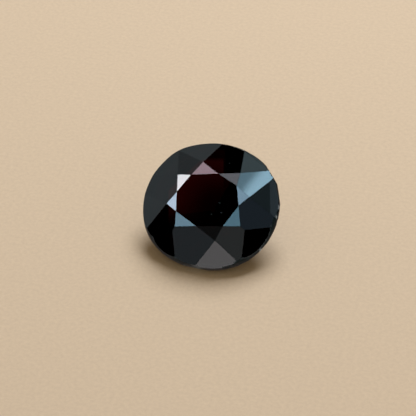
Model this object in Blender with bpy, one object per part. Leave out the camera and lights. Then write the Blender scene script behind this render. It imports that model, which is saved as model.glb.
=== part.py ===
"""A loose garnet about 10 mm across, cut by hand as a round that came out slightly oval.

The crown has a table, 8 star facets, 8 kite facets, 8 girdle facets and a narrow extra one. The
pavilion has 8 main facets that meet at a small culet, and 16 facets below the girdle. The stone lies
on one main facet, with its table leaning towards -Y. The origin is on the surface below the middle
of the stone.

The stone is ground as a cutter grinds it: an oval blank, then one flat plane for each facet.
It is cut standing upright, in its own frame: +Z runs out of the table, and azimuths are degrees
anticlockwise from +X, seen from above the table. At the end it is laid down on its rest facet.
"""

import math

import bmesh
import bpy
from mathutils import Matrix, Vector

MM = 0.001

# The girdle's widest outline, seen from above: an oval that is a little square at its shoulders
MEAN_RADIUS = 4.91 * MM
OVAL_SWELL = 0.15 * MM
OVAL_AZIMUTH = -4.5
SHOULDER_SWELL = 0.05 * MM
SHOULDER_AZIMUTH = 26.0
GIRDLE_POINTS = 120

# The girdle's wall was rubbed round, not ground flat: height, and how far it lies inside the outline
GIRDLE_PROFILE = (
    (-5.20 * MM, 1.00 * MM),
    (-1.10 * MM, 0.09 * MM),
    (-0.90 * MM, 0.02 * MM),
    (-0.70 * MM, 0.00 * MM),
    (-0.45 * MM, 0.01 * MM),
    (-0.25 * MM, 0.03 * MM),
    (-0.10 * MM, 0.07 * MM),
    (0.02 * MM, 0.12 * MM),
    (0.12 * MM, 0.18 * MM),
    (2.40 * MM, 1.80 * MM),
)

# On one side the wall leans in more towards its top: by how much, where, and how narrow that side is
WALL_LEAN = 0.13 * MM
WALL_LEAN_AZIMUTH = 210.0
WALL_LEAN_POWER = 8

# Flats where the wheel touched the girdle: azimuth, and distance from the stone's axis
GIRDLE_FLATS = (
    (29.0, 4.94 * MM),
    (7.5, 4.99 * MM),
    (-13.0, 4.98 * MM),
    (-32.0, 4.96 * MM),
    (-104.0, 4.63 * MM),
)

# Heights from the plane where the kite facets meet the girdle
TABLE_HEIGHT = 1.92 * MM
PAVILION_DEPTH = 3.65 * MM

# The girdle's lower edge lies this far below that plane, and lower still on the thick side
GIRDLE_DROP = 0.82 * MM
THICK_SIDE_DROP = 0.12 * MM
THICK_SIDE_AZIMUTH = 235.0

# The table's corners, clockwise from the upper left: azimuth and distance from the axis
TABLE_CORNERS = (
    (122.0, 2.02 * MM),
    (62.0, 1.92 * MM),
    (18.0, 2.34 * MM),
    (-18.0, 2.48 * MM),
    (-61.5, 2.54 * MM),
    (-108.0, 2.25 * MM),
    (-156.0, 2.38 * MM),
    (167.0, 2.16 * MM),
)

# The stars' outer tips, each just after the table corner of the same number: azimuth, distance from
# the axis, and height
STAR_TIPS = (
    (95.5, 2.78 * MM, 1.48 * MM),
    (37.0, 3.04 * MM, 1.40 * MM),
    (-1.0, 3.09 * MM, 1.58 * MM),
    (-42.0, 3.25 * MM, 1.47 * MM),
    (-79.5, 3.21 * MM, 1.49 * MM),
    (-139.0, 3.07 * MM, 1.55 * MM),
    (-175.0, 2.95 * MM, 1.50 * MM),
    (138.0, 2.85 * MM, 1.50 * MM),
)

# The crown's girdle facets, each below the star tip of the same number: azimuth and slope
BREAKS = (
    (94.25, 43.25),
    (49.5, 42.6),
    (5.0, 45.2),
    (-43.5, 51.0),
    (-88.5, 49.8),
    (-134.0, 47.4),
    (180.0, 44.0),
    (138.0, 42.0),
)

# Two girdle facets were cut a little low and miss their star tip: number, and azimuth, distance and
# height of their own tip
LOW_BREAK_TIPS = {
    3: (-41.5, 3.60 * MM, 1.20 * MM),
    5: (-138.5, 3.35 * MM, 1.35 * MM),
}

# A narrow extra facet beside the girdle on the right: azimuth and slope, and the lower end of its
# inner edge as azimuth, distance and height
NARROW_FACET = (4.6, 48.2)
NARROW_FACET_CORNER = (-10.6, 4.51 * MM, 0.30 * MM)

# The pavilion: where its first main facet lies, how far its ridges run in, and the culet's width
REST_AZIMUTH = 258.0
MAINS = 8
RIDGE_SHARE = 0.45
CULET_WIDTH = 0.34 * MM

# How near a corner has to be to a wheel's plane to count as on it, and the shortest edge that is kept
ON_PLANE = 1e-8
SHORTEST_EDGE = 0.004 * MM

GARNET_RED = (0.13, 0.004, 0.008, 1.0)
GARNET_IOR = 1.77


def girdle_radius(azimuth):
    """The widest outline's radius at an azimuth in degrees."""
    oval = math.cos(math.radians(2 * (azimuth - OVAL_AZIMUTH)))
    shoulder = math.cos(math.radians(4 * (azimuth - SHOULDER_AZIMUTH)))
    return MEAN_RADIUS + OVAL_SWELL * oval + SHOULDER_SWELL * shoulder


def wall_lean(azimuth, height):
    """How much further in the girdle's wall lies on its leaning side, from none at its widest ring."""
    side = max(0.0, math.cos(math.radians(azimuth - WALL_LEAN_AZIMUTH))) ** WALL_LEAN_POWER
    widest = min(GIRDLE_PROFILE, key=lambda ring: ring[1])[0]
    return WALL_LEAN * side * min(max(1.0 - height / widest, 0.0), 1.0)


def spot(azimuth, radius, height):
    """A point given by its azimuth in degrees, its distance from the axis and its height."""
    turn = math.radians(azimuth)
    return Vector((radius * math.cos(turn), radius * math.sin(turn), height))


def slope_normal(azimuth, slope):
    """The outward normal of a crown facet that faces azimuth and falls at slope, both in degrees."""
    tilt = math.radians(slope)
    return spot(azimuth, math.sin(tilt), math.cos(tilt))


def plane_normal(first, second, third):
    """The normal of the plane through three points, turned away from the stone's middle."""
    normal = (second - first).cross(third - first).normalized()
    middle = Vector((0, 0, TABLE_HEIGHT - PAVILION_DEPTH)) / 2
    if normal.dot(first - middle) < 0:
        normal.negate()
    return normal


def grind(stone, point, normal):
    """Grinds one flat facet: what lies outside the plane goes, and one face closes the cut."""
    cut = bmesh.ops.bisect_plane(
        stone,
        geom=stone.verts[:] + stone.edges[:] + stone.faces[:],
        dist=ON_PLANE,
        plane_co=point,
        plane_no=normal,
        clear_outer=True,
    )
    rim = [piece for piece in cut["geom_cut"] if isinstance(piece, bmesh.types.BMEdge)]
    if len(rim) > 2:
        bmesh.ops.edgeloop_fill(stone, edges=rim)


def grind_through(stone, first, second, third):
    """Grinds the facet that passes through three points."""
    grind(stone, first, plane_normal(first, second, third))


def make_blank():
    """The preform: a barrel with the girdle's outline and profile, closed at both ends."""
    stone = bmesh.new()
    azimuths = [360.0 * step / GIRDLE_POINTS for step in range(GIRDLE_POINTS)]
    rings = []
    for height, inset in GIRDLE_PROFILE:
        ring = []
        for azimuth in azimuths:
            radius = girdle_radius(azimuth) - inset - wall_lean(azimuth, height)
            ring.append(stone.verts.new(spot(azimuth, radius, height)))
        rings.append(ring)
    for lower, upper in zip(rings, rings[1:]):
        for here in range(GIRDLE_POINTS):
            after = (here + 1) % GIRDLE_POINTS
            stone.faces.new((lower[here], lower[after], upper[after], upper[here]))
    stone.faces.new(reversed(rings[0]))
    stone.faces.new(rings[-1])
    bmesh.ops.recalc_face_normals(stone, faces=stone.faces[:])
    return stone


def grind_girdle_flats(stone):
    """The upright flats on the girdle's right side."""
    for azimuth, distance in GIRDLE_FLATS:
        outward = spot(azimuth, 1.0, 0.0)
        grind(stone, outward * distance, outward)


def grind_crown(stone):
    """Table, stars, kites, girdle facets and the narrow extra facet."""
    table = [spot(azimuth, radius, TABLE_HEIGHT) for azimuth, radius in TABLE_CORNERS]
    tips = [spot(*tip) for tip in STAR_TIPS]
    count = len(table)
    grind(stone, Vector((0, 0, TABLE_HEIGHT)), Vector((0, 0, 1)))
    for number in range(count):
        grind_through(stone, tips[number - 1], table[number], tips[number])
    for number, (azimuth, slope) in enumerate(BREAKS):
        tip = tips[number]
        if number in LOW_BREAK_TIPS:
            tip = spot(*LOW_BREAK_TIPS[number])
        grind(stone, tip, slope_normal(azimuth, slope))
    for number in range(count):
        grind_through(stone, table[number], tips[number], table[(number + 1) % count])
    grind(stone, spot(*NARROW_FACET_CORNER), slope_normal(*NARROW_FACET))


def girdle_foot(azimuth):
    """The point on the girdle's lower edge at an azimuth."""
    thick = math.cos(math.radians(azimuth - THICK_SIDE_AZIMUTH))
    return spot(azimuth, girdle_radius(azimuth), -GIRDLE_DROP - THICK_SIDE_DROP * thick)


def grind_pavilion(stone):
    """Eight main facets through one point, two facets between each two of them, and the culet."""
    point = Vector((0, 0, -GIRDLE_DROP - PAVILION_DEPTH))
    step = 360.0 / MAINS
    mains = []
    for number in range(MAINS):
        azimuth = REST_AZIMUTH + step * number
        foot = girdle_foot(azimuth)
        along = spot(azimuth + 90, 1.0, 0.0)
        normal = plane_normal(point, foot, foot + along * MM)
        mains.append(normal)
        grind(stone, point, normal)
    for number in range(MAINS):
        azimuth = REST_AZIMUTH + step * number
        ridge = mains[number].cross(mains[(number + 1) % MAINS]).normalized()
        if ridge.z < 0:
            ridge.negate()
        reach = RIDGE_SHARE * MEAN_RADIUS / math.hypot(ridge.x, ridge.y)
        inner = point + ridge * reach
        middle = girdle_foot(azimuth + step / 2)
        grind_through(stone, inner, girdle_foot(azimuth), middle)
        grind_through(stone, inner, middle, girdle_foot(azimuth + step))
    fall = PAVILION_DEPTH / MEAN_RADIUS
    culet = point + Vector((0, 0, fall * CULET_WIDTH / 2))
    grind(stone, culet, Vector((0, 0, -1)))


def lay_down(stone):
    """Turns the rest facet to face straight down, and stands the stone on the origin's plane."""
    foot = girdle_foot(REST_AZIMUTH)
    fall = math.atan2(GIRDLE_DROP + PAVILION_DEPTH + foot.z, girdle_radius(REST_AZIMUTH))
    turn = Matrix.Rotation(math.radians(270.0 - REST_AZIMUTH), 4, "Z")
    lean = Matrix.Rotation(fall, 4, "X")
    stone.transform(lean @ turn)
    low = Vector([min(vertex.co[axis] for vertex in stone.verts) for axis in range(3)])
    high = Vector([max(vertex.co[axis] for vertex in stone.verts) for axis in range(3)])
    middle = (low + high) / 2
    stone.transform(Matrix.Translation((-middle.x, -middle.y, -low.z)))


def make_material():
    """Clear dark red crystal, polished."""
    material = bpy.data.materials.new("garnet")
    material.use_nodes = True
    shader = material.node_tree.nodes["Principled BSDF"]
    shader.inputs["Base Color"].default_value = GARNET_RED
    shader.inputs["Metallic"].default_value = 0.0
    shader.inputs["Roughness"].default_value = 0.02
    shader.inputs["IOR"].default_value = GARNET_IOR
    shader.inputs["Transmission Weight"].default_value = 1.0
    material.diffuse_color = GARNET_RED
    return material


def make_garnet():
    """Cuts the whole stone and puts it in the scene."""
    stone = make_blank()
    grind_girdle_flats(stone)
    grind_crown(stone)
    grind_pavilion(stone)
    bmesh.ops.remove_doubles(stone, verts=stone.verts[:], dist=SHORTEST_EDGE)
    bmesh.ops.dissolve_degenerate(stone, edges=stone.edges[:], dist=ON_PLANE)
    lay_down(stone)
    mesh = bpy.data.meshes.new("garnet")
    stone.to_mesh(mesh)
    stone.free()
    mesh.materials.append(make_material())
    garnet = bpy.data.objects.new("garnet", mesh)
    bpy.context.scene.collection.objects.link(garnet)
    return garnet


for leftover in list(bpy.data.objects):
    bpy.data.objects.remove(leftover, do_unlink=True)
make_garnet()
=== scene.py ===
# %% [markdown]
# A cut garnet, finished and lit around its solid
#
# The stone is already cut: its facets, girdle and culet come from the frame, in metres, and stay
# where they are. What is left for this file is what makes a solid look like a crystal: blunted facet
# edges, a frosted and chipped girdle, a body that swallows all but the deepest red, and soft lights
# for the facets to mirror.

import math
import random

import bmesh
import bpy
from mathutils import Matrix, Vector


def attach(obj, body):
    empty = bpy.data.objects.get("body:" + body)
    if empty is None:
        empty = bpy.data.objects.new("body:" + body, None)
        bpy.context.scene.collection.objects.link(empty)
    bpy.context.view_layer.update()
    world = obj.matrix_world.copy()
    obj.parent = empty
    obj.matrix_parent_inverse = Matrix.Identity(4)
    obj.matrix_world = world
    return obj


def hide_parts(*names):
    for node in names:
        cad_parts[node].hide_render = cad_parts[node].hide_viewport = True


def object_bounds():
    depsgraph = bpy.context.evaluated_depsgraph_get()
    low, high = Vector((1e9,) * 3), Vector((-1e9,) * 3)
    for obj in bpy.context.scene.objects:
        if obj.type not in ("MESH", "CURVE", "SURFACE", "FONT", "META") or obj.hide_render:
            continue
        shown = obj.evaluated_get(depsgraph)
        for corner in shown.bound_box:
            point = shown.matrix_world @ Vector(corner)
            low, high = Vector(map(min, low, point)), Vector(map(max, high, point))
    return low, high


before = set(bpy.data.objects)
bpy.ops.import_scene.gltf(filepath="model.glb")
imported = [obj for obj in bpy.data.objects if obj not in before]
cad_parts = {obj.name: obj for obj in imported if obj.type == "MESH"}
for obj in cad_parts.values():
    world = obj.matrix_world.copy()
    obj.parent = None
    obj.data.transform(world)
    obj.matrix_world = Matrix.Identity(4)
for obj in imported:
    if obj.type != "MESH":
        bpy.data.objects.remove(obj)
cad_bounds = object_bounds()
MM = 0.001
print("solid from", [round(value / MM, 2) for value in cad_bounds[0]], "mm")
print("solid to", [round(value / MM, 2) for value in cad_bounds[1]], "mm")

# %% [markdown]
# The camera
#
# The camera comes first, because every other choice is judged through it. A gem is photographed with
# a long lens from in front and above, so that its facets hardly narrow with distance. A wide lens
# close by would show more of the near facets, but it would bend the outline. The lens, the distance
# and the two angles are the ones at which the corners of the solid's facets meet the picture's.

# %% Camera
CAMERA_AZIMUTH = 14.83
CAMERA_ELEVATION = 37.97
CAMERA_DISTANCE = 167.8 * MM
LENS_MM = 200.0
SENSOR_MM = 36.0
PICTURE_WIDTH_PX = 416
NEAREST_SHOWN = 10.0 * MM

# How far right of and above the picture's centre the middle of the stone lies
STONE_RIGHT_PX = 2.83
STONE_ABOVE_PX = 1.62


def direction(azimuth, elevation):
    """A unit vector: azimuth in degrees anticlockwise from +X, elevation above the floor."""
    turn = math.radians(azimuth)
    rise = math.radians(elevation)
    return Vector((math.cos(turn) * math.cos(rise), math.sin(turn) * math.cos(rise), math.sin(rise)))


middle = (cad_bounds[0] + cad_bounds[1]) / 2
toward_camera = direction(CAMERA_AZIMUTH - 90, CAMERA_ELEVATION)
camera_right = direction(CAMERA_AZIMUTH, 0)
camera_up = toward_camera.cross(camera_right)
pixel_at_stone = CAMERA_DISTANCE * SENSOR_MM / LENS_MM / PICTURE_WIDTH_PX
aim = middle - (camera_right * STONE_RIGHT_PX + camera_up * STONE_ABOVE_PX) * pixel_at_stone

camera_data = bpy.data.cameras.new("camera")
camera_data.lens = LENS_MM
camera_data.sensor_width = SENSOR_MM
camera_data.clip_start = NEAREST_SHOWN
camera = bpy.data.objects.new("camera", camera_data)
bpy.context.scene.collection.objects.link(camera)
camera.location = middle + toward_camera * CAMERA_DISTANCE
camera.rotation_euler = (camera.location - aim).to_track_quat("Z", "Y").to_euler()
bpy.context.scene.camera = camera
print("camera at", [round(value / MM, 1) for value in camera.location], "mm")

# %% [markdown]
# From the stone to the picture and back
#
# Chips, specks and the glow have their places in the picture, so two helpers go between the two: one
# says where a point of the stone shows, the other finds the point that shows at a place. Both use the
# three directions of the camera as it is finally aimed.

# %% Picture places
toward = (camera.location - aim).normalized()
right = Vector((0, 0, 1)).cross(toward).normalized()
up = toward.cross(right)
FOCAL_PX = LENS_MM / SENSOR_MM * PICTURE_WIDTH_PX
PICTURE_MIDDLE_PX = PICTURE_WIDTH_PX / 2


def picture_place(point):
    """How many pixels right and down a point shows, from the picture's upper left corner."""
    ray = point - camera.location
    scale = FOCAL_PX / -ray.dot(toward)
    return Vector((PICTURE_MIDDLE_PX + ray.dot(right) * scale, PICTURE_MIDDLE_PX - ray.dot(up) * scale))


def surface_point(thing, right_px, down_px):
    """The point of a thing's surface that shows at a place in the picture."""
    ray = right * (right_px - PICTURE_MIDDLE_PX) - up * (down_px - PICTURE_MIDDLE_PX) - toward * FOCAL_PX
    hit, point, normal, face = thing.ray_cast(camera.location, ray.normalized())
    return point


print("the stone's middle shows at", [round(value, 1) for value in picture_place(middle)])

# %% [markdown]
# One face for each facet
#
# The solid arrives as loose triangles. A copy of it is merged, and triangles that lie in one plane
# are dissolved into one face, so that each facet of the stone is one face again. The facets could be
# cut anew from a lump, but then they could drift away from the solid, and the solid is what holds.

# %% Merge a copy of the solid
SAME_PLACE = 0.008 * MM
SAME_PLANE = math.radians(0.6)


def count_faces(thing):
    """Says how many faces and triangles a mesh has."""
    faces = thing.data.polygons
    triangles = sum(len(face.vertices) - 2 for face in faces)
    print(thing.name, "has", len(faces), "faces,", triangles, "triangles")


def edit(thing):
    """Makes one object the only one that is selected, and opens its mesh with nothing selected."""
    bpy.ops.object.select_all(action="DESELECT")
    bpy.context.view_layer.objects.active = thing
    thing.select_set(True)
    bpy.ops.object.mode_set(mode="EDIT")
    bpy.ops.mesh.select_mode(type="EDGE")
    bpy.ops.mesh.select_all(action="DESELECT")


stone = bpy.data.objects.new("garnet_crystal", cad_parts["garnet"].data.copy())
bpy.context.scene.collection.objects.link(stone)
stone.data.materials.clear()
edit(stone)
bpy.ops.mesh.select_all(action="SELECT")
bpy.ops.mesh.remove_doubles(threshold=SAME_PLACE)
bpy.ops.mesh.dissolve_limited(angle_limit=SAME_PLANE)
bpy.ops.object.mode_set(mode="OBJECT")
count_faces(stone)

# %% [markdown]
# Which faces are girdle
#
# A cutter polishes the facets on a lap and leaves the girdle as it was ground, grey and matt. Which
# faces are which follows from their normals: the table is the widest face that looks up, its normal
# is the stone's axis, every polished facet lies well across that axis, and the girdle's wall runs
# nearly along it. The marks are kept as numbers on the faces, and the material reads them later.
# Two materials would do the same, but light that enters the crystal through one of them and leaves
# through the other would be counted wrong.

# %% Mark the girdle
POLISHED_COSINE = 0.6

table = max((face for face in stone.data.polygons if face.normal.z > 0), key=lambda face: face.area)
axis = table.normal.copy()
table_centre = table.center.copy()
ground = stone.data.attributes.new("ground", "FLOAT", "FACE")
for face in stone.data.polygons:
    ground.data[face.index].value = 1.0 if abs(face.normal.dot(axis)) < POLISHED_COSINE else 0.0
print("axis leans", round(math.degrees(math.acos(axis.z)), 1), "degrees")
print("girdle faces:", sum(1 for mark in ground.data if mark.value > 0))

# %% [markdown]
# Truly flat facets
#
# A polished facet is as flat as a mirror, and at a corner a fault of a few thousandths of a millimetre
# would already tilt a thin triangle enough to flash. Merging has moved some corners by that much. So
# each corner is set back, again and again, onto the planes of the wide facets that meet there, until
# it lies on all of them. Blender's own tool for this flattens one face at the cost of the next.

# %% Settle the corners on their planes
WIDE_FACET = 0.05 * MM * MM
SETTLE_ROUNDS = 40

net = bmesh.new()
net.from_mesh(stone.data)
net.normal_update()
mark = net.faces.layers.float["ground"]
wide = [face for face in net.faces if face[mark] < 1 and face.calc_area() > WIDE_FACET]
planes = {face: (face.normal.copy(), face.calc_center_median()) for face in wide}
before = [point.co.copy() for point in net.verts]
for turn in range(SETTLE_ROUNDS):
    for point in net.verts:
        for face in point.link_faces:
            if face in planes:
                normal, centre = planes[face]
                point.co -= normal * (point.co - centre).dot(normal)
moved = max((point.co - old).length for point, old in zip(net.verts, before))
net.to_mesh(stone.data)
net.free()
print("wide facets:", len(wide), " farthest move", round(moved / MM, 4), "mm")

# %% [markdown]
# Blunted facet edges
#
# On a real stone the edge between two facets isn't a line without width. Polishing blunts it by one or
# two hundredths of a millimetre, and that thin strip mirrors whatever lies between the two facets'
# reflections, as a hair of light or of dark. A bevel in the mesh makes that strip. A bevel in the
# shading alone would cost nothing in faces, but it wouldn't be there in the exported mesh. Only edges
# between two polished facets are beveled, because the girdle's edges get chips.

# %% Bevel the facet edges
EDGE_WIDTH = 0.016 * MM
SHARP_ENOUGH = math.radians(3.0)
LONG_ENOUGH = 0.10 * MM

edit(stone)
net = bmesh.from_edit_mesh(stone.data)
mark = net.faces.layers.float["ground"]
worn = 0
for edge in net.edges:
    polished = len(edge.link_faces) == 2 and all(face[mark] < 1 for face in edge.link_faces)
    if polished and edge.calc_face_angle() > SHARP_ENOUGH and edge.calc_length() > LONG_ENOUGH:
        edge.select_set(True)
        worn += 1
bmesh.update_edit_mesh(stone.data)
bpy.ops.mesh.bevel(offset=EDGE_WIDTH / 2, segments=1, clamp_overlap=False)
bpy.ops.object.mode_set(mode="OBJECT")
print("edges blunted:", worn)
count_faces(stone)

# %% [markdown]
# Chips on the girdle
#
# Garnet is brittle, and a girdle ground this thin chips where it touches other stones. Small chips lie
# close together along its edges on the right and at the back, with a few larger ones. The upper edge
# is worn back all along there, and the left side is nearly whole. Noise on the normals would look
# rough but leave the outline smooth, and lumps taken away by a Boolean leave slivers and holes. So the
# upper edge is subdivided, and the points of both edges are pulled in along the facet they border. The
# facets stay flat, and the wall between them breaks up into small slopes that catch the light.

# %% Divide the girdle's upper edge
CHIP_CUTS = 3
LONG_ENOUGH_TO_CHIP = 0.06 * MM


def rim_side(edge, mark):
    """1 where the girdle's wall meets a polished facet above it, -1 where below it, and 0 elsewhere."""
    marks = [face[mark] for face in edge.link_faces]
    if len(marks) != 2 or min(marks) == max(marks):
        return 0
    return 1 if min(edge.link_faces, key=lambda face: face[mark]).normal.dot(axis) > 0 else -1


edit(stone)
net = bmesh.from_edit_mesh(stone.data)
mark = net.faces.layers.float["ground"]
upper_edges = [edge for edge in net.edges if rim_side(edge, mark) > 0]
upper_edges = [edge for edge in upper_edges if edge.calc_length() > LONG_ENOUGH_TO_CHIP]
for edge in upper_edges:
    edge.select_set(True)
bmesh.update_edit_mesh(stone.data)
bpy.ops.mesh.subdivide(number_cuts=CHIP_CUTS)
bpy.ops.mesh.select_all(action="DESELECT")
print("edges divided:", len(upper_edges))

# %% Pull in the chips
CHIP_SEED = 7
CHIPPED_RIGHT_OF_PX = 222.0
SCRATCH_DEPTH = 0.012 * MM
SMALL_CHIP_DEPTH = 0.080 * MM

# The wear comes on top of the chips, on the upper edge only, and the lower edge chips less deeply
WORN_DEPTH = 0.070 * MM
LOWER_EDGE_SHARE = 0.6

# Larger chips: their place in the picture, how far they reach along the edge, and how deep they go
LARGE_CHIPS = (
    ((280.5, 207.5), 0.22 * MM, 0.08 * MM),
    ((277.5, 217.0), 0.13 * MM, 0.07 * MM),
    ((268.8, 182.3), 0.15 * MM, 0.09 * MM),
    ((244.5, 150.5), 0.16 * MM, 0.09 * MM),
    ((241.5, 264.5), 0.20 * MM, 0.10 * MM),
    ((262.0, 250.0), 0.15 * MM, 0.08 * MM),
)

dice = random.Random(CHIP_SEED)


def chip_depth(point, is_upper):
    """How deep an edge is chipped at a point."""
    shown = picture_place(point)
    is_chipped = shown.x > CHIPPED_RIGHT_OF_PX
    depth = SMALL_CHIP_DEPTH if is_chipped else SCRATCH_DEPTH
    depth *= dice.random() ** 2
    if is_chipped and is_upper:
        depth += WORN_DEPTH
    for chip, reach, deepest in LARGE_CHIPS:
        gap = (shown - Vector(chip)).length * pixel_at_stone
        depth = max(depth, deepest * (1 - (gap / reach) ** 2))
    return depth if is_upper else depth * LOWER_EDGE_SHARE


net = bmesh.from_edit_mesh(stone.data)
net.verts.index_update()
mark = net.faces.layers.float["ground"]
rim_points = {point for edge in net.edges if rim_side(edge, mark) != 0 for point in edge.verts}
rim_points = sorted(rim_points, key=lambda point: point.index)
depths = []
for point in rim_points:
    facets = [face for face in point.link_faces if face[mark] < 1]
    if len(facets) == 1:
        outward = point.co - table_centre
        outward -= axis * outward.dot(axis)
        inward = facets[0].normal * outward.dot(facets[0].normal) - outward
        depths.append(chip_depth(point.co, facets[0].normal.dot(axis) > 0))
        point.co += inward.normalized() * depths[-1]
for point in rim_points:
    for face in point.link_faces:
        face.select_set(face[mark] > 0)
bmesh.update_edit_mesh(stone.data)
bpy.ops.mesh.quads_convert_to_tris(quad_method="BEAUTY", ngon_method="BEAUTY")
bpy.ops.object.mode_set(mode="OBJECT")
print("points pulled in:", len(depths), " deepest", round(max(depths) / MM, 3), "mm")
count_faces(stone)

# %% Mark the larger chips' painted highlights and the rim, and set the shading
SMOOTH_UNDER = math.radians(25.0)

# A chip's slope gets a painted highlight where it leans at least this much towards the table
GLINT_COSINE = 0.1

# The wall's upper rim gets a painted highlight only low in the picture, on the side that faces the camera
RIM_LIGHT_FROM_PX = 205.0
RIM_LIGHT_RISE_PX = 25.0

net = bmesh.new()
net.from_mesh(stone.data)
net.normal_update()
mark = net.faces.layers.float["ground"]
glint = net.faces.layers.float.new("glint")
rim = net.verts.layers.float.new("rim")
upper_points = {point for edge in net.edges if rim_side(edge, mark) > 0 for point in edge.verts}
for point in upper_points:
    below = (picture_place(point.co).y - RIM_LIGHT_FROM_PX) / RIM_LIGHT_RISE_PX
    point[rim] = min(max(below, 0.0), 1.0)
for face in net.faces:
    shown = picture_place(face.calc_center_median())
    near = any((shown - Vector(chip)).length * pixel_at_stone < reach for chip, reach, deepest in LARGE_CHIPS)
    # The mark says where a chip's slope gets a painted highlight
    face[glint] = 1.0 if near and face[mark] > 0 and face.normal.dot(axis) > GLINT_COSINE else 0.0
    face.smooth = face[mark] > 0
for edge in net.edges:
    girdle = len(edge.link_faces) == 2 and all(face[mark] > 0 for face in edge.link_faces)
    edge.smooth = girdle and edge.calc_face_angle() < SMOOTH_UNDER
print("fresh chip faces:", sum(1 for face in net.faces if face[glint] > 0))
print("open edges:", sum(1 for edge in net.edges if len(edge.link_faces) != 2))
net.to_mesh(stone.data)
net.free()

# %% [markdown]
# Small patterns as node groups
#
# A dull speck and the middle of a glow are round spots, and the glow ends along straight lines, so one
# group makes a round spot from a place and a radius, and another makes a straight edge from a place
# and a direction. A third makes fine grit, which the ground girdle and the floor both have, each at
# its own size. As groups they are drawn once and set by named inputs wherever they are used.

# %% Group: round spot
VECTOR = "NodeSocketVector"
NUMBER = "NodeSocketFloat"


def new_group(name, inputs, output):
    """An empty node group with named inputs (name, kind) and one output (name, kind)."""
    group = bpy.data.node_groups.new(name, "ShaderNodeTree")
    for title, kind in inputs:
        group.interface.new_socket(title, in_out="INPUT", socket_type=kind)
    group.interface.new_socket(output[0], in_out="OUTPUT", socket_type=output[1])
    return group, group.nodes.new("NodeGroupInput"), group.nodes.new("NodeGroupOutput")


spot_group, enter, leave = new_group(
    "round spot",
    (("Position", VECTOR), ("Centre", VECTOR), ("Radius", NUMBER), ("Core", NUMBER)),
    ("Mask", NUMBER),
)
gap = spot_group.nodes.new("ShaderNodeVectorMath")
gap.operation = "DISTANCE"
core = spot_group.nodes.new("ShaderNodeMath")
core.operation = "MULTIPLY"
fade = spot_group.nodes.new("ShaderNodeMapRange")
fade.interpolation_type = "SMOOTHSTEP"
fade.inputs["To Min"].default_value = 1.0
fade.inputs["To Max"].default_value = 0.0
join = spot_group.links.new
join(enter.outputs["Position"], gap.inputs[0])
join(enter.outputs["Centre"], gap.inputs[1])
join(enter.outputs["Radius"], core.inputs[0])
join(enter.outputs["Core"], core.inputs[1])
join(gap.outputs["Value"], fade.inputs["Value"])
join(core.outputs["Value"], fade.inputs["From Min"])
join(enter.outputs["Radius"], fade.inputs["From Max"])
join(fade.outputs["Result"], leave.inputs["Mask"])
print("group:", spot_group.name)

# %% Group: straight edge
edge_group, enter, leave = new_group(
    "straight edge",
    (("Position", VECTOR), ("On Edge", VECTOR), ("Inward", VECTOR), ("Softness", NUMBER)),
    ("Mask", NUMBER),
)
arm = edge_group.nodes.new("ShaderNodeVectorMath")
arm.operation = "SUBTRACT"
reach = edge_group.nodes.new("ShaderNodeVectorMath")
reach.operation = "DOT_PRODUCT"
fade = edge_group.nodes.new("ShaderNodeMapRange")
fade.interpolation_type = "SMOOTHSTEP"
join = edge_group.links.new
join(enter.outputs["Position"], arm.inputs[0])
join(enter.outputs["On Edge"], arm.inputs[1])
join(arm.outputs["Vector"], reach.inputs[0])
join(enter.outputs["Inward"], reach.inputs[1])
join(reach.outputs["Value"], fade.inputs["Value"])
join(enter.outputs["Softness"], fade.inputs["From Max"])
join(fade.outputs["Result"], leave.inputs["Mask"])
print("group:", edge_group.name)

# %% Group: grit
GRAIN_DETAIL = 3.0
GRAIN_ROUGHNESS = 0.6

# The noise seldom leaves this middle range, so the range is stretched to the whole of the grit
NOISE_LOW = 0.3
NOISE_HIGH = 0.7

grit_group, enter, leave = new_group(
    "grit",
    (("Position", VECTOR), ("Grains per Metre", NUMBER), ("Low", NUMBER), ("High", NUMBER)),
    ("Value", NUMBER),
)
grain = grit_group.nodes.new("ShaderNodeTexNoise")
grain.inputs["Detail"].default_value = GRAIN_DETAIL
grain.inputs["Roughness"].default_value = GRAIN_ROUGHNESS
spread = grit_group.nodes.new("ShaderNodeMapRange")
spread.inputs["From Min"].default_value = NOISE_LOW
spread.inputs["From Max"].default_value = NOISE_HIGH
join = grit_group.links.new
join(enter.outputs["Position"], grain.inputs["Vector"])
join(enter.outputs["Grains per Metre"], grain.inputs["Scale"])
join(grain.outputs["Fac"], spread.inputs["Value"])
join(enter.outputs["Low"], spread.inputs["To Min"])
join(enter.outputs["High"], spread.inputs["To Max"])
join(spread.outputs["Result"], leave.inputs["Value"])
print("group:", grit_group.name)

# %% [markdown]
# The crystal
#
# Garnet bends light strongly (its index of refraction is about 1.77) and this one is so dark that it
# passes almost only the deepest red, and little of that. So the shader is clear glass with a polish,
# and the red comes from absorption in the volume: thin places glow, thick ones are black. A dark red
# paint would be simpler, but paint is as dark at a thin edge as in the middle.

# %% Material: the body
GARNET_IOR = 1.77
SURFACE_TINT = (0.60, 0.05, 0.06, 1.0)
BODY_COLOUR = (0.58, 0.0, 0.02, 1.0)
BODY_DENSITY = 1400.0

material = bpy.data.materials.new("garnet")
material.use_nodes = True
nodes = material.node_tree.nodes
links = material.node_tree.links
shader = nodes["Principled BSDF"]
shader.inputs["IOR"].default_value = GARNET_IOR
shader.inputs["Transmission Weight"].default_value = 1.0
shader.inputs["Emission Strength"].default_value = 1.0
body = nodes.new("ShaderNodeVolumeAbsorption")
body.inputs["Color"].default_value = BODY_COLOUR
body.inputs["Density"].default_value = BODY_DENSITY
links.new(body.outputs["Volume"], nodes["Material Output"].inputs["Volume"])
stone.data.materials.append(material)
print("absorbs", round((1 - BODY_COLOUR[0]) * BODY_DENSITY), "per metre in red")

# %% Helpers for placing nodes
BLACK = (0.0, 0.0, 0.0, 1.0)

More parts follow.
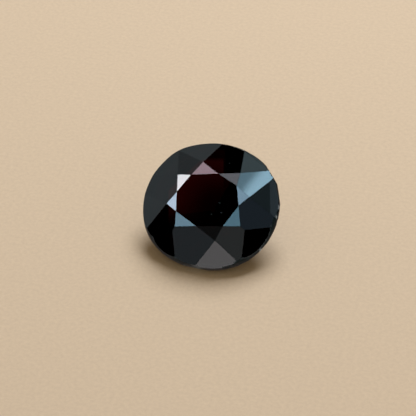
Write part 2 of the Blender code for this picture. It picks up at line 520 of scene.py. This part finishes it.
# A Mix node has sockets for each kind of value, and these are the places of the ones for colours
MIX_SHARE = 0
MIX_FIRST = 6
MIX_SECOND = 7
MIX_RESULT = 2


def place_group(tree, group, position, settings):
    """Places a node group with its values, reading a position."""
    node = tree.nodes.new("ShaderNodeGroup")
    node.node_tree = group
    for title, value in settings.items():
        node.inputs[title].default_value = value
    tree.links.new(position, node.inputs["Position"])
    return node.outputs[0]


def calculate(tree, operation, first, second):
    """A Math node on two values, each a socket or a number."""
    node = tree.nodes.new("ShaderNodeMath")
    node.operation = operation
    for socket, value in zip(node.inputs, (first, second)):
        if isinstance(value, (int, float)):
            socket.default_value = value
        else:
            tree.links.new(value, socket)
    return node.outputs["Value"]


def blend_colours(tree, share, first, second, mode="MIX"):
    """A colour Mix node: share is a socket, and each colour is a socket or four numbers."""
    node = tree.nodes.new("ShaderNodeMix")
    node.data_type = "RGBA"
    node.blend_type = mode
    node.clamp_result = False
    tree.links.new(share, node.inputs[MIX_SHARE])
    for socket, value in ((node.inputs[MIX_FIRST], first), (node.inputs[MIX_SECOND], second)):
        if isinstance(value, tuple):
            socket.default_value = value
        else:
            tree.links.new(value, socket)
    return node.outputs[MIX_RESULT]


def read_mark(tree, name):
    """The value of a mark that lies on the mesh."""
    node = tree.nodes.new("ShaderNodeAttribute")
    node.attribute_name = name
    return node.outputs["Fac"]


place = nodes.new("ShaderNodeTexCoord").outputs["Object"]
print("nodes so far:", len(nodes))

# %% [markdown]
# Dull places
#
# Where the surface isn't polished it scatters light instead of mirroring it: on the ground girdle, and
# on a few tiny specks of dust or wear on the table and the facet behind it. One mask holds them all.
# It raises the roughness and lets no light through. Under the light from all round the room such a
# place would look faintly grey and not black, so that grey is painted on as a weak glow of its own.
# The upward slopes of the larger chips get a much lighter painted highlight than the ground wall, and
# the wall's upper rim gets a painted highlight line.

# %% Material: girdle, chips and specks
POLISHED = 0.02
GROUND = 0.42
GRIT_PER_METRE = 9000.0
LEAST_DULL = 0.55
# Painted light: a weak grey glow, standing in for the light that a ground surface sends back
GROUND_SCATTER_GLOW = (0.006, 0.011, 0.0105, 1.0)
# Painted highlight on the upward slopes of the larger chips
CHIP_HIGHLIGHT = (0.20, 0.21, 0.21, 1.0)
# Painted highlight along the wall's upper rim, stronger low in the picture
RIM_HIGHLIGHT = (0.055, 0.062, 0.060, 1.0)
RIM_FALLOFF = 4.0
SPECKS_PX = ((229.5, 163.2), (211.4, 214.2), (221.5, 212.7), (219.8, 203.0))
SPECK_RADIUS = 0.11 * MM
SPECK_CORE = 0.2
SPECK_DULLNESS = 0.65

tree = material.node_tree
grit = place_group(tree, grit_group, place, {
    "Grains per Metre": GRIT_PER_METRE, "Low": LEAST_DULL, "High": 1.0})
dull =calculate(tree, "MULTIPLY", read_mark(tree, "ground"), grit)
for right_px, down_px in SPECKS_PX:
    spot = surface_point(stone, right_px, down_px)
    speck = place_group(tree, spot_group, place, {
        "Centre": spot, "Radius": SPECK_RADIUS, "Core": SPECK_CORE})
    dull = calculate(tree, "MAXIMUM", dull, calculate(tree, "MULTIPLY", speck, SPECK_DULLNESS))
rough = nodes.new("ShaderNodeMapRange")
rough.inputs["To Min"].default_value = POLISHED
rough.inputs["To Max"].default_value = GROUND
links.new(dull, rough.inputs["Value"])
links.new(rough.outputs["Result"], shader.inputs["Roughness"])
links.new(blend_colours(tree, dull, SURFACE_TINT, BLACK), shader.inputs["Base Color"])
# Painted light in the emission: a grey glow on girdle and specks, highlights on rim and chips
rim_line = calculate(tree, "POWER", read_mark(tree, "rim"), RIM_FALLOFF)
painted_glow = blend_colours(tree, rim_line, GROUND_SCATTER_GLOW, RIM_HIGHLIGHT)
painted_glow = blend_colours(tree, read_mark(tree, "glint"), painted_glow, CHIP_HIGHLIGHT)
painted_glow = blend_colours(tree, dull, BLACK, painted_glow)
print("specks:", len(SPECKS_PX))

# %% [markdown]
# The glow in the stone
#
# Light that enters this stone comes back from its lower facets, and where its way through the crystal
# is short enough, some red is left of it: a dim red region that lies behind the table and the facets
# round the table's upper left corner, with straight sides, and fades towards the lower right. Lamps
# round the stone could make it only if its hidden lower facets were known exactly. So the glow is a
# very weak red light on the surface, ended by straight edges and fading towards a dark middle.

# %% Material: glow
GLOW_RED = (0.0088, 0.0006, 0.0006, 1.0)
DARK_MIDDLE_PX = (218.0, 206.0)
DARK_MIDDLE_RADIUS = 3.9 * MM
DARK_MIDDLE_CORE = 0.15

# Where each side of the glow lies, the way into it (right, down), and how softly it ends
GLOW_SIDES = (
    ((167.8, 212.0), (1.0, 0.0), 0.10 * MM),
    ((224.4, 168.0), (-1.0, 0.0), 0.12 * MM),
    ((187.5, 171.5), (0.680, 0.733), 0.12 * MM),
    ((214.0, 156.5), (0.0, 1.0), 0.45 * MM),
    ((200.0, 228.0), (0.0, -1.0), 2.20 * MM),
)

dark_middle = place_group(tree, spot_group, place, {
    "Centre": surface_point(stone, *DARK_MIDDLE_PX),
    "Radius": DARK_MIDDLE_RADIUS,
    "Core": DARK_MIDDLE_CORE})
glow = calculate(tree, "SUBTRACT", 1.0, dark_middle)
for (right_px, down_px), (inward_right, inward_down), softness in GLOW_SIDES:
    side = place_group(tree, edge_group, place, {
        "On Edge": surface_point(stone, right_px, down_px),
        "Inward": right * inward_right - up * inward_down,
        "Softness": softness})
    glow = calculate(tree, "MULTIPLY", glow, side)
links.new(blend_colours(tree, glow, painted_glow, GLOW_RED, "ADD"), shader.inputs["Emission Color"])
print("glow sides:", len(GLOW_SIDES))

# %% The crystal's place in the frame
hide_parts("garnet")
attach(stone, "root")
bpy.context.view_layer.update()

# %% [markdown]
# The floor
#
# A plain pale floor of a warm tone, with a grain too fine to draw the eye. It is left out of what the
# stone mirrors and lets through: several low facets face it, and a mirrored pale floor would turn them
# from black to beige. A dark floor would keep them black too, but then nothing pale would lie round
# the stone.

# %% Floor
FLOOR_WIDTH = 3.0
FLOOR_DARK = (0.772, 0.638, 0.488, 1.0)
FLOOR_LIGHT = (0.842, 0.702, 0.540, 1.0)
FLOOR_GRAINS_PER_METRE = 3500.0
FLOOR_ROUGHNESS = 0.9
FLOOR_SPECULAR = 0.1

bpy.ops.object.select_all(action="DESELECT")
bpy.ops.mesh.primitive_plane_add(size=FLOOR_WIDTH, location=(0, 0, 0))
floor = bpy.context.object
floor.name = "floor"
floor_material = bpy.data.materials.new("pale_floor")
floor_material.use_nodes = True
floor_tree = floor_material.node_tree
floor_shader = floor_tree.nodes["Principled BSDF"]
floor_shader.inputs["Roughness"].default_value = FLOOR_ROUGHNESS
floor_shader.inputs["Specular IOR Level"].default_value = FLOOR_SPECULAR
floor_place = floor_tree.nodes.new("ShaderNodeTexCoord").outputs["Object"]
floor_grit = place_group(floor_tree, grit_group, floor_place, {
    "Grains per Metre": FLOOR_GRAINS_PER_METRE, "Low": 0.0, "High": 1.0})
floor_colour = blend_colours(floor_tree, floor_grit, FLOOR_DARK, FLOOR_LIGHT)
floor_tree.links.new(floor_colour, floor_shader.inputs["Base Color"])
floor.data.materials.append(floor_material)
floor.visible_glossy = False
floor.visible_transmission = False
print("floor:", FLOOR_WIDTH, "m wide")

# %% [markdown]
# Cards for the facets to mirror
#
# Each flat facet mirrors one small part of its surroundings, so a facet is bright or dark by what
# stands where it looks. A photographer puts white, grey and blue cards there, one for each facet.
# Area lights could be the cards, but they would also light the floor, and a world picture is ruled
# out. So the cards are round patches in the world: a direction, a radius in degrees, how much of the
# radius is soft edge, and a light. Rays that have bounced off the floor see an even fill instead.

# %% Group: soft card
card_group, enter, leave = new_group(
    "soft card",
    (("Position", VECTOR), ("Toward", VECTOR), ("Inner Cosine", NUMBER), ("Outer Cosine", NUMBER)),
    ("Mask", NUMBER),
)
dot = card_group.nodes.new("ShaderNodeVectorMath")
dot.operation = "DOT_PRODUCT"
fade = card_group.nodes.new("ShaderNodeMapRange")
fade.interpolation_type = "SMOOTHSTEP"
join = card_group.links.new
join(enter.outputs["Position"], dot.inputs[0])
join(enter.outputs["Toward"], dot.inputs[1])
join(dot.outputs["Value"], fade.inputs["Value"])
join(enter.outputs["Outer Cosine"], fade.inputs["From Min"])
join(enter.outputs["Inner Cosine"], fade.inputs["From Max"])
join(fade.outputs["Result"], leave.inputs["Mask"])
print("group:", card_group.name)

# %% Cards
# Each card: its name, azimuth, elevation, radius in degrees, share of soft edge, and light
CARDS = (
    ("white card, left", 165.6, 39.3, 11, 0.4, (8.5, 8.5, 8.9)),
    ("blue sky, left", 188.3, 22.8, 11, 0.4, (4.95, 6.2, 7.7)),
    ("pink card, back left", 130.1, 59.9, 12, 0.4, (3.07, 2.31, 2.64)),
    ("grey card, back", 78.3, 61.8, 11, 0.4, (1.23, 1.28, 1.42)),
    ("sky, back right", 44.3, 41.8, 10, 0.4, (1.0, 1.75, 2.2)),
    ("bright sky, back right", 36.4, 35.2, 9.21, 0.03, (1.75, 2.8, 3.45)),
    ("sky, high right", -8.1, 59.6, 14, 0.4, (2.11, 3.34, 4.34)),
    ("sky, front right", -45.4, 33.6, 12, 0.4, (0.93, 1.84, 2.38)),
    ("sky, front left", -124.2, 21.9, 6, 0.4, (1.56, 2.62, 3.35)),
    ("low front", -83.5, -31.3, 12, 0.4, (0.96, 0.93, 0.94)),
    ("wall, back left", 142.0, 14.0, 40, 0.3, (0.173, 0.203, 0.213)),
    ("wall, back", 114.5, 19.1, 12, 0.4, (0.030, 0.037, 0.040)),
    ("wall, lower left", 158.0, 6.0, 18, 0.4, (0.055, 0.065, 0.072)),
    ("wall, left", 171.8, -4.1, 9, 0.4, (0.145, 0.172, 0.182)),
    ("dim, back", 76.2, 32.4, 10, 0.4, (0.36, 0.50, 0.54)),
    ("dim, right", 25.3, 23.8, 12, 0.4, (0.10, 0.15, 0.17)),
    ("narrow facet, right", 28.3, 19.0, 3, 0.4, (0.12, 0.15, 0.18)),
    ("dim, front right", -12.4, 21.9, 14, 0.4, (0.12, 0.17, 0.22)),
    ("low right", -53.8, -2.6, 14, 0.4, (0.24, 0.26, 0.26)),
    ("low left", -112.0, -13.7, 16, 0.4, (0.18, 0.21, 0.23)),
    ("front", -94.3, 18.9, 10, 0.4, (0.05, 0.05, 0.05)),
    ("below", 100.0, -58.0, 60, 0.4, (0.08, 0.05, 0.04)),
)

world = bpy.data.worlds.new("studio")
bpy.context.scene.world = world
world.use_nodes = True
world.cycles.sampling_method = "NONE"
sky = world.node_tree
ray = sky.nodes.new("ShaderNodeTexCoord").outputs["Generated"]
cards = BLACK
for name, azimuth, elevation, radius, soft, light in CARDS:
    card = place_group(sky, card_group, ray, {
        "Toward": direction(azimuth, elevation),
        "Inner Cosine": math.cos(math.radians(radius * (1 - soft))),
        "Outer Cosine": math.cos(math.radians(radius))})
    card.node.label = name
    cards = blend_colours(sky, card, cards, (*light, 1.0), "ADD")
print("cards:", len(CARDS))

# %% Fill and backdrop
BACKDROP = (0.75, 0.65, 0.52, 1.0)
FLOOR_FILL = (0.25, 0.200, 0.132, 1.0)

# The depth counts whole bounces, so half of one lies between none and the first
HALF_A_BOUNCE = 0.5

path = sky.nodes.new("ShaderNodeLightPath")
bounced = calculate(sky, "GREATER_THAN", path.outputs["Diffuse Depth"], HALF_A_BOUNCE)
seen = blend_colours(sky, path.outputs["Is Camera Ray"], cards, BACKDROP)
lit = blend_colours(sky, bounced, seen, FLOOR_FILL)
sky.links.new(lit, sky.nodes["Background"].inputs["Color"])
print("floor fill", FLOOR_FILL[:3])

# %% [markdown]
# The key light
#
# One large lamp high behind the stone gives the soft, short shadow that lies in front of it. A small
# lamp would draw a hard outline, and a lamp in front would hide the shadow. The facets don't mirror
# it, because their cards already say what they see.

# %% Key light
KEY_AZIMUTH = 86.0
KEY_ELEVATION = 62.0
KEY_DISTANCE = 240.0 * MM
KEY_WIDTH = 170.0 * MM
KEY_WATTS = 0.428
KEY_COLOUR = (0.97, 0.98, 1.0)

key_data = bpy.data.lights.new("key", "AREA")
key_data.shape = "DISK"
key_data.size = KEY_WIDTH
key_data.energy = KEY_WATTS
key_data.color = KEY_COLOUR
key = bpy.data.objects.new("key", key_data)
bpy.context.scene.collection.objects.link(key)
key.location = middle + direction(KEY_AZIMUTH, KEY_ELEVATION) * KEY_DISTANCE
key.rotation_euler = (key.location - middle).to_track_quat("Z", "Y").to_euler()
key.visible_camera = False
key.visible_glossy = False
key.visible_transmission = False
bpy.context.scene.view_settings.view_transform = "Standard"
print("key at", [round(value / MM) for value in key.location], "mm")
